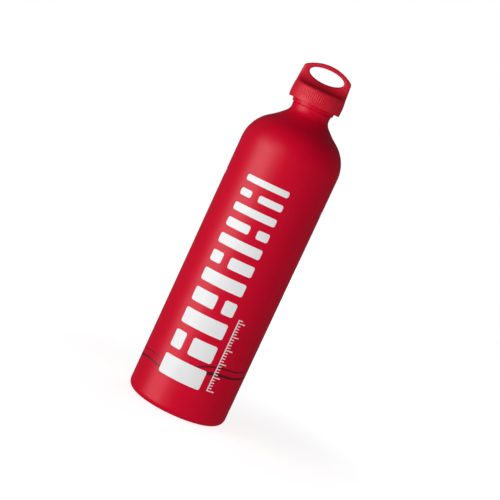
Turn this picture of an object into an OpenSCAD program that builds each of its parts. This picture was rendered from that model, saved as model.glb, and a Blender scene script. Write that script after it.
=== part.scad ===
// Camping fuel bottle with a push-and-turn screw cap and a carrying loop.
// The origin is the centre of the base, +Z runs up the axis, and the loop's flat face looks along -Y.
// Every height in the cap is worked out from the rim of the neck.

/* [Bottle] */
// Outside diameter of the bottle
body_d = 88; // [76:1:96]
// Height at which the straight wall ends and the shoulder begins
straight_h = 231.4; // [100:0.1:300]
// Wall thickness of the straight body
body_wall = 1; // [0.8:0.1:1.4]
// Thickness of the base
base_t = 2; // [1.6:0.1:3]
// Outside radius of the corner between base and wall
base_corner_r = 7; // [6:0.5:9]
// Rise of the hollowed base at its centre
base_dome = 4; // [2:0.5:5]
// Width of the flat ring that the bottle stands on
standing_ring_w = 6; // [3:0.5:8]
// Radius of the convex shoulder
shoulder_r = 32; // [29:0.1:34]
// Radius of the long hollow slope that leads from the shoulder towards the neck
slope_r = 72; // [60:1:85]
// Angle of that slope to the axis where it meets the neck
slope_angle = 44; // [42:0.5:46]
// Radius of the tight hollow at the foot of the neck
neck_sweep_r = 8.2; // [7.5:0.1:9]

/* [Neck] */
// Diameter of the narrowest part of the neck, just below the bead
neck_waist_d = 33.8; // [33.2:0.1:34.4]
// Wall thickness of the neck at its waist
neck_wall = 2.7; // [2.3:0.1:2.9]
// Height from the waist to the rim
neck_h = 9.2; // [8.8:0.1:9.6]
// Diameter of the bead that thickens the mouth
bead_d = 37.1; // [36.8:0.1:37.4]
// Height of the bead, with its bevelled underside
bead_h = 6.6; // [6.4:0.1:7]

/* [Plug] */
// Length of the stem below the flange
stem_l = 15; // [12:0.5:18]
// Running clearance between the stem and the bore of the neck
stem_clearance = 0.08; // [0.05:0.01:0.1]
// Wall thickness of the hollow stem
stem_wall = 2.7; // [2:0.1:3]
// Thickness of the flange that presses on the gasket
flange_t = 2.2; // [1.8:0.1:2.6]
// Number of teeth in each half of the clutch, a multiple of 4
clutch_teeth = 12; // [8:4:16]
// Height of a clutch tooth on the plug
tooth_h = 1.8; // [1.4:0.1:1.8]
// Thickness of the flat gasket between rim and flange
gasket_t = 1.5; // [1:0.1:2]

/* [Cap shell] */
// Widest diameter of the skirt
skirt_d = 46.1; // [45.8:0.1:47]
// Height of the skirt at the front, where the cap's top slopes down to it
skirt_h = 13.4; // [13.2:0.1:14.4]
// Wall thickness of the skirt where it is widest
skirt_wall = 2.3; // [2.1:0.05:2.4]
// Height of the whole cap, from the skirt's lower edge to the top of the loop
cap_h = 35.5; // [34.4:0.1:38.4]
// How far the cap can be pushed down against its spring
push_travel = 2; // [1.8:0.1:2.1]

/* [Loop] */
// Thickness of the loop from face to face
loop_t = 7.6; // [6:0.1:9]
// Radius of the loop's arched top
loop_top_r = 36.2; // [32:0.1:45]
// Radius of the loop's upper corners
loop_corner_r = 3.5; // [2.5:0.1:6]
// Width of the oval finger hole
hole_w = 30.9; // [26:0.1:32]
// Height of the oval finger hole
hole_h = 11.9; // [8:0.1:13]
// Height of the hole's centre above the skirt's lower edge
hole_z = 25.9; // [25.4:0.1:26.4]
// Radius that rounds every edge of the loop
loop_edge_r = 1.6; // [1:0.1:2]
// Radius of the hollow sweep between the cap's top and the loop
loop_root_r = 8.5; // [6:0.1:9]

/* [Spring] */
// Diameter of the spring's wire
wire_d = 1.4; // [1:0.1:1.6]
// Diameter of the spring, measured at the middle of the wire
coil_d = 19.2; // [18.8:0.1:19.6]
// Turns that are free to close up, between the two closed end turns
active_turns = 4; // [3:1:5]

/* [Hidden] */
$fn = 96;

body_r = body_d / 2;
waist_r = neck_waist_d / 2;
bead_r = bead_d / 2;
bore_r = waist_r - neck_wall;
standing_ring_r = body_r - base_corner_r - standing_ring_w;
corner_thickening = 1.5;
base_inner_r = base_corner_r - corner_thickening;

// Centres of the three arcs that run into each other from the straight wall to the neck's waist
function polar(a) = [cos(a), sin(a)];
shoulder_c = [body_r - shoulder_r, straight_h];
neck_c_x = waist_r + neck_sweep_r;
slope_c_x = neck_c_x + (slope_r - neck_sweep_r) * cos(slope_angle);
shoulder_angle = acos((slope_c_x - shoulder_c[0]) / (shoulder_r + slope_r));
slope_c = shoulder_c + (shoulder_r + slope_r) * polar(shoulder_angle);
neck_c = slope_c - (slope_r - neck_sweep_r) * polar(slope_angle);
waist_z = neck_c[1];
rim_z = waist_z + neck_h;
rim_edge_r = 0.8;
bead_bevel_h = 0.8;
bead_lean = 0.45;
bead_lean_h = 2.3;
mouth_chamfer = 0.8;

// Heights in the cap, from the rim upwards
flange_z = rim_z + gasket_t;
flange_top = flange_z + flange_t;
skirt_drop = 2.9;
skirt_z = rim_z - skirt_drop;
roof_h = 11.6;
ceiling_z = skirt_z + roof_h;
washer_t = 1;
stem_bottom = flange_z - stem_l;
stem_floor_t = 2.4;
spring_z0 = stem_bottom + stem_floor_t;
spring_z1 = ceiling_z - washer_t;

// Radii in the cap
stem_r = bore_r - stem_clearance;
cup_r = stem_r - stem_wall;
skirt_r = skirt_d / 2;
cavity_r = skirt_r - skirt_wall;
cap_clearance = 0.4;
flange_r = cavity_r - cap_clearance;
gasket_r_in = bore_r + mouth_chamfer;
gasket_r_out = bead_r - rim_edge_r;
tooth_r_in = 14.8;
tooth_r_out = 19.2;
tip_clearance = 0.4;
tooth_gap = push_travel - (tooth_h - tip_clearance);
tooth_angle = 156 / clutch_teeth;
lug_h = ceiling_z - flange_top - tooth_h - tooth_gap;
ring_clearance = 0.5;
ring_r_in = bead_r + ring_clearance;
ring_groove = 0.6;
ring_t = 1.4;
ring_play = 0.1;
guide_r = 7.9;
guide_h = 4.5;
washer_clearance = 0.3;
washer_r_in = guide_r + washer_clearance;
washer_r_out = coil_d / 2 + wire_d;
loop_taper = 4.6;
// The rounding gives way where the bar above the hole, or the loop itself, is too thin for it
bar_h = cap_h - hole_z - hole_h / 2;
loop_edge = min(loop_edge_r, bar_h / 2 - 0.15, loop_t / 2 - 1);
top_slope = 5;
overlap = 0.3;

// Points of an arc about c, from angle a0 to angle a1
function arc(c, r, a0, a1, steps = 16) =
    [for (i = [0:steps]) c + r * polar(a0 + (a1 - a0) * i / steps)];

// Points of an oval of half width a and half height b
function oval(a, b, steps = 64) =
    [for (i = [0:steps - 1]) [a * cos(360 * i / steps), b * sin(360 * i / steps)]];

// Faces of a solid that passes through rings of n points each, closed by two flat ends
function loft_faces(n, rings) = concat(
    [for (k = [0:rings - 2], i = [0:n - 1]) let (a = k * n, j = (i + 1) % n) [a + i, a + n + i, a + j]],
    [for (k = [0:rings - 2], i = [0:n - 1]) let (a = k * n, j = (i + 1) % n) [a + j, a + n + i, a + n + j]],
    [[for (i = [0:n - 1]) i]],
    [[for (i = [0:n - 1]) rings * n - 1 - i]]
);

// Half section of the bottle: up the outside, over the rim and down the inside
module bottle_section() {
    dome_r = (standing_ring_r * standing_ring_r + base_dome * base_dome) / (2 * base_dome);
    dome_a = asin(standing_ring_r / dome_r);
    bead_z = rim_z - bead_h;
    bead_a = asin((bead_z - waist_z) / neck_sweep_r);
    corner_c = [body_r - base_corner_r, base_corner_r];
    inner_c = [body_r - body_wall - base_inner_r, base_t + base_inner_r];
    polygon(concat(
        arc([0, base_dome - dome_r], dome_r, 90, 90 - dome_a, 8),
        arc(corner_c, base_corner_r, -90, 0, 12),
        arc(shoulder_c, shoulder_r, 0, shoulder_angle, 20),
        arc(slope_c, slope_r, 180 + shoulder_angle, 180 + slope_angle, 6),
        arc(neck_c, neck_sweep_r, 180 + slope_angle, 180 - bead_a, 14),
        [[bead_r - bead_lean, bead_z + bead_bevel_h], [bead_r, bead_z + bead_bevel_h + bead_lean_h]],
        arc([bead_r - rim_edge_r, rim_z - rim_edge_r], rim_edge_r, 0, 90, 6),
        [[bore_r + mouth_chamfer, rim_z], [bore_r, rim_z - mouth_chamfer]],
        arc(neck_c, neck_sweep_r + neck_wall, 180, 180 + slope_angle, 12),
        arc(shoulder_c, shoulder_r - body_wall, shoulder_angle, 0, 20),
        arc(inner_c, base_inner_r, 0, -90, 10),
        arc([0, base_dome - dome_r + base_t], dome_r, 90 - dome_a, 90, 8)
    ));
}

// One-piece drawn aluminium bottle
module bottle() {
    color([0.78, 0.09, 0.16])
        rotate_extrude()
            bottle_section();
}

// Flat rubber ring that lies loose on the rim, round the stem of the plug
module mouth_gasket() {
    color([0.12, 0.12, 0.12])
        translate([0, 0, rim_z])
            difference() {
                cylinder(r = gasket_r_out, h = gasket_t);
                translate([0, 0, -1])
                    cylinder(r = gasket_r_in, h = gasket_t + 2);
            }
}

// A ring of teeth that fills tooth_angle of each pitch, chamfered along its free edge
module tooth_ring(height) {
    bevel = 0.4;
    section = [
        [tooth_r_in, -overlap], [tooth_r_out, -overlap], [tooth_r_out, height - bevel],
        [tooth_r_out - bevel, height], [tooth_r_in + bevel, height], [tooth_r_in, height - bevel]
    ];
    for (i = [0:clutch_teeth - 1])
        rotate([0, 0, 360 * i / clutch_teeth - tooth_angle / 2])
            rotate_extrude(angle = tooth_angle)
                polygon(section);
}

// Half section of the hollow plug: stem, floor, flange and the mouth of the spring cup
module plug_section() {
    tip = 1.2;
    rim_bevel = 0.4;
    mouth_bevel = 0.6;
    cup_corner = 1;
    polygon([
        [0, stem_bottom], [stem_r - tip, stem_bottom], [stem_r, stem_bottom + tip],
        [stem_r, flange_z], [flange_r, flange_z], [flange_r, flange_top - rim_bevel],
        [flange_r - rim_bevel, flange_top], [cup_r + mouth_bevel, flange_top],
        [cup_r, flange_top - mouth_bevel], [cup_r, spring_z0 + cup_corner],
        [cup_r - cup_corner, spring_z0], [0, spring_z0]
    ]);
}

// Threaded plug that closes the neck, with half of the clutch on its flange
module screw_plug() {
    vent_w = 4;
    vent_depth = 0.9;
    vent_top = rim_z - 3;
    color([0.13, 0.13, 0.14])
        difference() {
            union() {
                rotate_extrude()
                    plug_section();
                translate([0, 0, flange_top])
                    tooth_ring(tooth_h);
            }
            // Two slots that let pressure out before the plug leaves the neck
            for (side = [0, 180])
                rotate([0, 0, side])
                    translate([stem_r - vent_depth, -vent_w / 2, stem_bottom - 1])
                        cube([vent_depth + 1, vent_w, vent_top - stem_bottom + 1]);
        }
}

// Height of the middle of the wire after a number of turns: a closed turn at each end, an even rise between
spring_turns = active_turns + 2;
end_pitch = wire_d + 0.5;
active_pitch = (spring_z1 - spring_z0 - wire_d - 2 * end_pitch) / active_turns;
function wire_z(turn) = spring_z0 + wire_d / 2
    + (turn < 1 ? turn * end_pitch
    : turn < spring_turns - 1 ? end_pitch + (turn - 1) * active_pitch
    : end_pitch + active_turns * active_pitch + (turn - spring_turns + 1) * end_pitch);

// Compression spring that holds the two halves of the clutch apart
module clutch_spring() {
    rings_per_turn = 16;
    wire_sides = 8;
    ring_count = spring_turns * rings_per_turn + 1;
    points = [
        for (k = [0:ring_count - 1], i = [0:wire_sides - 1])
            let (
                turn = k / rings_per_turn,
                side = 360 * i / wire_sides,
                r = coil_d / 2 + wire_d / 2 * cos(side)
            )
            [r * cos(360 * turn), r * sin(360 * turn), wire_z(turn) + wire_d / 2 * sin(side)]
    ];
    // Least gap between neighbouring turns, measured on the wire's own points
    turn_gap = min([
        for (k = [0:ring_count - 1 - rings_per_turn])
            wire_z((k + rings_per_turn) / rings_per_turn) - wire_z(k / rings_per_turn) - wire_d
    ]);
    echo(least_gap_between_turns_mm = turn_gap);
    color([0.72, 0.73, 0.75])
        polyhedron(points, loft_faces(wire_sides, ring_count));
}

// Flat steel washer between the spring and the cap's ceiling
module thrust_washer() {
    color([0.75, 0.75, 0.77])
        translate([0, 0, ceiling_z - washer_t])
            difference() {
                cylinder(r = washer_r_out, h = washer_t);
                translate([0, 0, -1])
                    cylinder(r = washer_r_in, h = washer_t + 2);
            }
}

// Radius of the cap's tapering sides at a height above the skirt's lower edge
taper_z = skirt_h;
taper_start_in = 0.6;
taper_r = skirt_r - taper_start_in;
function side_r(z) = taper_r - (z - taper_z) * tan(loop_taper);

// Half section of the round cap, solid: a skirt that bulges a little, and the taper above it
module cap_round_section() {
    wide_h = 5.8;
    foot_draw_in = 0.3;
    low = [for (i = [0:6]) let (h = wide_h * i / 6) [skirt_r - foot_draw_in * pow(1 - h / wide_h, 2), h]];
    high = [
        for (i = [1:8]) let (h = (taper_z - wide_h) * i / 8)
            [skirt_r - (skirt_r - taper_r) * pow(h / (taper_z - wide_h), 2), wide_h + h]
    ];
    polygon(concat([[0, 0]], low, high, [[side_r(cap_h), cap_h], [0, cap_h]]));
}

// Side outline of the cap's sloping top and of the hollow sweep up to the loop's foot
module root_outline() {
    edge = skirt_r + 1;
    root_c = [loop_t / 2 + loop_root_r, 0];
    foot_z = skirt_h + (skirt_r - root_c[0]) * tan(top_slope);
    sweep = arc(root_c + [0, foot_z + loop_root_r], loop_root_r, 270 - top_slope, 184, 12);
    half = concat([[edge, -1], [edge, skirt_h - tan(top_slope)]], sweep);
    polygon(concat(half, [for (i = [len(half) - 1:-1:0]) [-half[i][0], half[i][1]]]));
}

// Front outline of the hollow sweep. Its ends run in behind the rounded sides of the loop,
// and the finger hole passes through it.
module root_front_outline() {
    edge = skirt_r + 1;
    end_z = skirt_h - 0.3;
    sweep_top = skirt_h + loop_root_r + 1;
    sweep_end = side_r(sweep_top) - loop_edge - 0.2;
    lip = 0.3;
    difference() {
        polygon([
            [-edge, -1], [edge, -1], [edge, end_z],
            [sweep_end, sweep_top], [-sweep_end, sweep_top], [-edge, end_z]
        ]);
        translate([0, hole_z])
            polygon(oval(hole_w / 2 + lip, hole_h / 2 + lip, 48));
    }
}

// Front outline of the loop, drawn in by inset all round
module loop_outline(inset) {
    foot_z = roof_h - 0.7;
    side_in = 0.05;
    foot_r = side_r(foot_z) - side_in;
    top_r = side_r(cap_h) - side_in;
    offset(r = loop_corner_r - inset, $fn = 32)
        offset(delta = -loop_corner_r)
            intersection() {
                translate([0, cap_h - loop_top_r])
                    circle(r = loop_top_r, $fn = 120);
                polygon([[-foot_r, foot_z], [foot_r, foot_z], [top_r, cap_h], [-top_r, cap_h]]);
            }
}

// The loop with its oval finger hole, every edge rounded alike
module loop_ring() {
    minkowski() {
        rotate([90, 0, 0])
            linear_extrude(height = loop_t - 2 * loop_edge, center = true)
                difference() {
                    loop_outline(loop_edge);
                    translate([0, hole_z])
                        polygon(oval(hole_w / 2 + loop_edge, hole_h / 2 + loop_edge, 48));
                }
        sphere(r = loop_edge, $fn = 16);
    }
}

// Half section of the hollow under the cap, with the groove for the retaining ring
module cap_cavity_section() {
    lip = 0.5;
    edge = 0.5;
    ring_z = flange_z - ring_t - skirt_z;
    ring_end = ring_z + ring_t + ring_play;
    groove_r = cavity_r + ring_groove;
    guide_z = roof_h - guide_h;
    polygon([
        [0, -1], [cavity_r + lip, -1], [cavity_r + lip, 0], [cavity_r, lip],
        [cavity_r, ring_z], [groove_r, ring_z], [groove_r, ring_end], [cavity_r, ring_end],
        [cavity_r, roof_h - edge], [cavity_r - edge, roof_h], [guide_r, roof_h],
        [guide_r, guide_z + edge], [guide_r - edge, guide_z], [0, guide_z]
    ]);
}

// Moulded shell that the hand holds: skirt, loop, spring guide and the other half of the clutch
module cap_shell() {
    color([0.8, 0.13, 0.2])
        translate([0, 0, skirt_z]) {
            difference() {
                union() {
                    intersection() {
                        rotate_extrude()
                            cap_round_section();
                        rotate([90, 0, 90])
                            linear_extrude(height = body_d, center = true)
                                root_outline();
                        rotate([90, 0, 0])
                            linear_extrude(height = body_d, center = true)
                                root_front_outline();
                    }
                    loop_ring();
                }
                rotate_extrude()
                    cap_cavity_section();
            }
            translate([0, 0, ceiling_z - skirt_z])
                rotate([0, 180, 180 / clutch_teeth])
                    tooth_ring(lug_h);
        }
}

// Split ring, snapped into the skirt, that keeps the shell on the plug
module retaining_ring() {
    gap_angle = 24;
    ring_r_out = cavity_r + ring_groove - ring_play;
    section = [[ring_r_in, 0], [ring_r_out, 0], [ring_r_out, ring_t], [ring_r_in, ring_t]];
    color([0.75, 0.75, 0.77])
        translate([0, 0, flange_z - ring_t])
            rotate([0, 0, 90 + gap_angle / 2])
                rotate_extrude(angle = 360 - gap_angle)
                    polygon(section);
}

bottle();
mouth_gasket();
clutch_spring();
screw_plug();
thrust_washer();
cap_shell();
retaining_ring();
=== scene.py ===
"""Camping fuel bottle: a satin red lacquered bottle with a push-and-turn cap, its prints and a photo studio.

Run as a script. Every size is in metres, +Z runs up the bottle, and the front looks along -Y.
"""

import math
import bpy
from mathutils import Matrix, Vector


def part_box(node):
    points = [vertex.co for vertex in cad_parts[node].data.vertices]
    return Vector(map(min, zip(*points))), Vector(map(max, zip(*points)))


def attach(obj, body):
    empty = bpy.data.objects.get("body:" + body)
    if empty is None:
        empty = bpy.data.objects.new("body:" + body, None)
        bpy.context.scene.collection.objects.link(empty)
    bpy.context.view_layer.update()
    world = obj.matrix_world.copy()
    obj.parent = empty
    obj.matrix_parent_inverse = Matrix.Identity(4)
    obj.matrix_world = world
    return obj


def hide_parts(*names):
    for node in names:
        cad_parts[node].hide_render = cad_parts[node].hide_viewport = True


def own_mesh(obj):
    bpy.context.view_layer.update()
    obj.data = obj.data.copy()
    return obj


bl_info = {
    "name": "Camping Fuel Bottle",
    "version": (1, 0, 0),
    "blender": (4, 5, 0),
    "location": "View3D > Sidebar > Fuel Bottle",
    "description": "Builds a lacquered fuel bottle with its cap, thread, prints and studio",
    "category": "Add Mesh",
}

import bpy
import numpy as np
from bpy.props import FloatProperty, FloatVectorProperty, IntProperty, PointerProperty
from mathutils import Matrix, Vector

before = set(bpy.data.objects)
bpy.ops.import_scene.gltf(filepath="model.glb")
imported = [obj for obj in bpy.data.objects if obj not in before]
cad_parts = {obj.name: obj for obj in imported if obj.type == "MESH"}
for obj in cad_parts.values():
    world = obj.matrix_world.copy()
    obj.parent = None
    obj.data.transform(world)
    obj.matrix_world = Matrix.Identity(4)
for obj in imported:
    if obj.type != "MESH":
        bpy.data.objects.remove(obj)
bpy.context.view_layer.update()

MM = 0.001
TAU = 2 * math.pi
BODY_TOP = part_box("bottle")[1].z
BODY_RADIUS = 44 * MM
SKIRT_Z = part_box("cap_shell")[0].z
CAP_TOP_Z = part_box("cap_shell")[1].z
FLANGE_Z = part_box("mouth_gasket")[1].z
STEM_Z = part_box("screw_plug")[0].z
SPRING_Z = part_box("clutch_spring")[0].z
WASHER_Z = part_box("thrust_washer")[0].z
RING_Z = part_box("retaining_ring")[0].z


# Settings


def length(name, description, default, low=0.0, high=1.0):
    """A size in metres that a user may change."""
    return FloatProperty(
        name=name, description=description, default=default, min=low, max=high,
        precision=5, unit="LENGTH", subtype="DISTANCE",
    )


def turn(name, description, degrees):
    """An angle that a user may change."""
    return FloatProperty(
        name=name, description=description, default=math.radians(degrees), unit="ROTATION", subtype="ANGLE"
    )


def colour(name, description, default):
    """A linear colour that a user may change."""
    return FloatVectorProperty(
        name=name, description=description, default=default, size=3, min=0.0, max=1.0, subtype="COLOR"
    )


class BottleSizes(bpy.types.PropertyGroup):
    """Sizes of the one-piece bottle."""

    radius: length("Radius", "Outside radius of the body", BODY_RADIUS)
    skin: length("Ink depth", "How far the lacquer lies below the face of the prints", 0.03 * MM)
    straight_height: length("Straight height", "Height at which the shoulder begins", 231.4 * MM)
    wall: length("Wall", "Wall thickness of the body", 1.0 * MM)
    base_thickness: length("Base thickness", "Thickness of the base", 2.0 * MM)
    corner_radius: length("Corner radius", "Radius between base and wall", 7 * MM)
    dome_rise: length("Dome rise", "Rise of the hollowed base", 4 * MM)
    standing_ring: length("Standing ring", "Width of the flat ring under the base", 6 * MM)
    shoulder_radius: length("Shoulder radius", "Radius of the convex shoulder", 32 * MM)
    slope_radius: length("Slope radius", "Radius of the long hollow slope above the shoulder", 72 * MM)
    slope_angle: turn("Slope angle", "Angle of the slope where the neck begins", 44)
    neck_radius: length("Neck hollow", "Radius of the tight hollow at the foot of the neck", 8.2 * MM)
    waist: length("Waist", "Radius of the narrowest part of the neck", 16.9 * MM)
    neck_wall: length("Neck wall", "Wall thickness at the waist", 2.7 * MM)
    bead: length("Bead", "Radius of the bead round the mouth", 18.55 * MM)
    bead_height: length("Bead height", "Height of the bead, with its bevelled underside", 6.6 * MM)
    bead_bevel: length("Bead bevel", "Height of the bead's bevelled underside", 0.8 * MM)
    bead_lean: length("Bead lean", "How much narrower the bead is at its lower edge", 0.45 * MM)
    bead_lean_height: length("Bead lean height", "Height over which the bead widens", 2.3 * MM)
    facets: IntProperty(name="Facets", description="Columns round the bottle", default=288, min=48, max=720)


class ThreadSizes(bpy.types.PropertyGroup):
    """Sizes of the neck's thread and the plug's thread, which share one helix."""

    pitch: length("Pitch", "Rise of the thread in one turn", 3 * MM)
    depth: length("Depth", "Depth of the groove in the bore", 0.8 * MM)
    crest: length("Crest", "Height of the plug's ridge over its stem", 0.64 * MM)
    plug_low: length("Lower end", "Height where the plug's thread begins", STEM_Z + 5.6 * MM)
    plug_high: length("Upper end", "Height where the plug's thread ends", FLANGE_Z - 3.4 * MM)
    neck_low: length("Lowest groove", "Height where the neck's thread runs out", BODY_TOP - 9.6 * MM)


class CapSizes(bpy.types.PropertyGroup):
    """Sizes of the moulded cap shell."""

    skirt_radius: length("Skirt radius", "Widest radius of the skirt", 23.05 * MM)
    skirt_height: length("Skirt height", "Height of the skirt at the front", 13.4 * MM)
    height: length("Height", "Height of the whole cap", CAP_TOP_Z - SKIRT_Z)
    top_slope: turn("Top slope", "Rise of the cap's top towards the loop", 5)
    loop_thickness: length("Loop thickness", "Thickness of the loop from face to face", 7.6 * MM)
    loop_arch: length("Loop arch", "Radius of the loop's arched top", 36.2 * MM)
    loop_corner: length("Loop corner", "Radius of the loop's upper corners", 3.5 * MM)
    loop_edge: length("Loop edge", "Radius that rounds the edges of the loop", 1.6 * MM)
    root: length("Root", "Radius of the hollow sweep at the foot of the loop", 8.5 * MM)
    hole_width: length("Hole width", "Width of the oval hole", 30.9 * MM)
    hole_height: length("Hole height", "Height of the oval hole", 11.9 * MM)
    hole_centre: length("Hole centre", "Height of the hole's centre above the skirt's edge", 25.9 * MM)
    cavity: length("Cavity", "Radius of the hollow under the cap", 20.75 * MM)
    roof: length("Roof", "Height of the cavity's roof above the skirt's edge", 11.6 * MM)
    rib_height: length("Rib height", "How far the grip ribs stand out", 0.22 * MM)
    cell: length("Cell", "Grid that the shell is cast on", 0.32 * MM, 0.1 * MM, 1 * MM)


class SmallPartSizes(bpy.types.PropertyGroup):
    """Sizes of the gasket, spring, washer and ring."""

    gasket_inner: length("Gasket inner", "Inner radius of the mouth gasket", 15.0 * MM)
    gasket_outer: length("Gasket outer", "Outer radius of the mouth gasket", 17.75 * MM)
    wire: length("Wire", "Diameter of the spring's wire", 1.4 * MM)
    coil: length("Coil", "Diameter of the spring at the middle of its wire", 19.2 * MM)
    coil_turns: IntProperty(name="Turns", description="Free turns of the spring", default=4, min=2, max=8)
    washer_inner: length("Washer inner", "Inner radius of the thrust washer", 8.2 * MM)
    washer_outer: length("Washer outer", "Outer radius of the thrust washer", 11.0 * MM)
    washer_thickness: length("Washer thickness", "Thickness of the thrust washer", 1.0 * MM)
    ring_inner: length("Ring inner", "Inner radius of the retaining ring", 19.05 * MM)
    ring_outer: length("Ring outer", "Outer radius of the retaining ring", 21.25 * MM)
    ring_thickness: length("Ring thickness", "Thickness of the retaining ring", 1.4 * MM)
    push: length("Push", "Travel of the cap against the spring", 2.0 * MM)


class PrintSizes(bpy.types.PropertyGroup):
    """Layout of the plain printed marks."""

    bars_low: length("Bars low", "Height where the row of bars begins", 29 * MM)
    bars_high: length("Bars high", "Height where the row of bars ends", 208 * MM)
    bars_left: turn("Bars left", "Left edge of the bars, from the front", -34)
    bars_right: turn("Bars right", "Right edge of the bars, from the front", 16.6)
    bar_count: IntProperty(name="Bars", description="Number of bars", default=11, min=2, max=20)
    bar_gap: length("Bar gap", "Gap between two bars", 6.6 * MM)
    scale_low: length("Scale low", "Lower end of the fine scale", 31 * MM)
    scale_high: length("Scale high", "Upper end of the fine scale", 96 * MM)
    scale_angle: turn("Scale angle", "Where the scale's line stands, from the front", 24.7)
    fill_height: length("Fill line", "Height of the fill line on the back", 201 * MM)
    wave_height: length("Wave height", "Mean height of the dark wave lines", 36 * MM)


class FinishColours(bpy.types.PropertyGroup):
    """Linear colours of the finishes."""

    lacquer: colour("Lacquer", "Satin lacquer on the bottle", (0.62, 0.0015, 0.024))
    cap: colour("Cap", "Moulded plastic of the cap shell", (0.67, 0.012, 0.033))
    plug: colour("Plug", "Moulded plastic of the plug", (0.022, 0.022, 0.024))
    rubber: colour("Rubber", "Rubber of the gasket", (0.014, 0.014, 0.015))
    white_ink: colour("White ink", "Screen-printed white", (0.86, 0.86, 0.87))
    dark_ink: colour("Dark ink", "Screen-printed dark red", (0.13, 0.004, 0.014))
    aluminium: colour("Aluminium", "Bare metal inside the bottle", (0.76, 0.765, 0.775))
    steel: colour("Steel", "Spring, washer and ring", (0.60, 0.605, 0.615))


class StudioSettings(bpy.types.PropertyGroup):
    """Camera, lamps and floor."""

    camera_distance: length("Camera distance", "Distance from the camera to the axis", 1206.8 * MM, 0.1, 10)
    camera_height: length("Camera height", "Height of the camera over the floor", 285.6 * MM, 0.0, 10)
    camera_side: length("Camera side", "How far the camera stands to the right", 2.41 * MM, -1, 1)
    camera_down: turn("Camera down", "How far the camera looks down", 6.535)
    camera_roll: turn("Camera roll", "How far the camera is rolled", 24.887)
    focal_length: FloatProperty(
        name="Focal length", description="Focal length for a 36 mm frame", default=104.09, min=10, max=400,
        subtype="DISTANCE_CAMERA",
    )
    key_light: FloatProperty(
        name="Key light", description="Radiance of the large soft light at the left", default=1.13, min=0, max=20
    )
    core_light: FloatProperty(
        name="Key core", description="Radiance that the middle of the key light adds", default=2.5, min=0, max=20
    )
    fill_light: FloatProperty(
        name="Fill light", description="Radiance of the light at the right", default=1.16, min=0, max=20
    )
    back_light: FloatProperty(
        name="Back light", description="Radiance of the light behind", default=0.8, min=0, max=20
    )
    surround: FloatProperty(
        name="Surround", description="Light that the studio's walls give", default=0.15, min=0, max=1
    )
    mirrored: FloatProperty(
        name="Mirrored", description="Grey level of the walls as polished faces mirror them", default=0.05,
        min=0, max=1,
    )


SETTINGS = {
    "fuel_bottle_body": BottleSizes,
    "fuel_bottle_thread": ThreadSizes,
    "fuel_bottle_cap": CapSizes,
    "fuel_bottle_small": SmallPartSizes,
    "fuel_bottle_print": PrintSizes,
    "fuel_bottle_finish": FinishColours,
    "fuel_bottle_studio": StudioSettings,
}


# Mesh helpers


def arc(centre, radius, start, end, steps):
    """Points (r, z) of an arc, with its angles in degrees from the outward direction."""
    angles = np.radians(np.linspace(start, end, steps + 1))
    return [(centre[0] + radius * math.cos(a), centre[1] + radius * math.sin(a)) for a in angles]


def softened(points, radius, least_turn=9.0, steps=4):
    """The same outline with its sharp corners rounded."""
    result = [points[0]]
    for before, corner, after in zip(points, points[1:], points[2:]):
        into, out = Vector(corner) - Vector(before), Vector(after) - Vector(corner)
        bend = into.angle(out, 0.0)
        if math.degrees(bend) < least_turn:
            result.append(corner)
            continue
        cut = min(radius * math.tan(bend / 2), 0.45 * into.length, 0.45 * out.length)
        start = Vector(corner) - into.normalized() * cut
        end = Vector(corner) + out.normalized() * cut
        for k in range(steps + 1):
            t = k / steps
            result.append(tuple(start * (1 - t) ** 2 + Vector(corner) * 2 * t * (1 - t) + end * t * t))
    result.append(points[-1])
    return result


def mesh_piece(name, points, faces, materials, face_materials=None, sharp=40.0):
    """A mesh object from arrays, smooth except along edges sharper than an angle."""
    mesh = bpy.data.meshes.new(name)
    mesh.from_pydata(np.asarray(points).tolist(), [], faces)
    for material in materials:
        mesh.materials.append(material)
    if face_materials is not None:
        mesh.polygons.foreach_set("material_index", np.asarray(face_materials, np.int32))
    mesh.polygons.foreach_set("use_smooth", np.ones(len(mesh.polygons), bool))
    mesh.set_sharp_from_angle(angle=math.radians(sharp))
    mesh.update()
    piece = bpy.data.objects.new(name, mesh)
    bpy.context.scene.collection.objects.link(piece)
    return piece


def rings_to_faces(rings, columns, closed=False):
    """Quads between neighbouring rings of points; a closed sweep joins the last ring to the first."""
    faces = []
    for k in range(rings if closed else rings - 1):
        a, b = k * columns, ((k + 1) % rings) * columns
        faces += [(a + i, a + (i + 1) % columns, b + (i + 1) % columns, b + i) for i in range(columns)]
    return faces


def lathe(name, outline, columns, materials, row_material=None, radius_of=None, closed=False, sharp=40.0):
    """Turns an outline (r, z) about Z. radius_of may change the radius by angle and height.

    An open outline that starts or ends on the axis is closed there by a fan.
    """
    outline = list(outline)
    start_pole = not closed and outline[0][0] < 1e-9
    end_pole = not closed and outline[-1][0] < 1e-9
    rows = outline[1 if start_pole else 0: len(outline) - 1 if end_pole else len(outline)]
    angles = np.arange(columns) * TAU / columns
    points, marks = [], []
    for r, z in rows:
        radius = np.full(columns, r) if radius_of is None else radius_of(angles, r, z)
        points.append(np.stack([radius * np.cos(angles), radius * np.sin(angles), np.full(columns, z)], 1))
    points = np.concatenate(points)
    faces = rings_to_faces(len(rows), columns, closed)
    strips = len(rows) if closed else len(rows) - 1
    for k in range(strips):
        marks += [0 if row_material is None else row_material(rows[k], rows[(k + 1) % len(rows)])] * columns
    if start_pole:
        points = np.concatenate([points, [[0, 0, outline[0][1]]]])
        faces += [((i + 1) % columns, i, len(points) - 1) for i in range(columns)]
        marks += [marks[0]] * columns
    if end_pole:
        points = np.concatenate([points, [[0, 0, outline[-1][1]]]])
        top = (len(rows) - 1) * columns
        faces += [(top + i, top + (i + 1) % columns, len(points) - 1) for i in range(columns)]
        marks += [marks[strips * columns - 1]] * columns
    return mesh_piece(name, points, faces, materials, marks, sharp)


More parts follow.
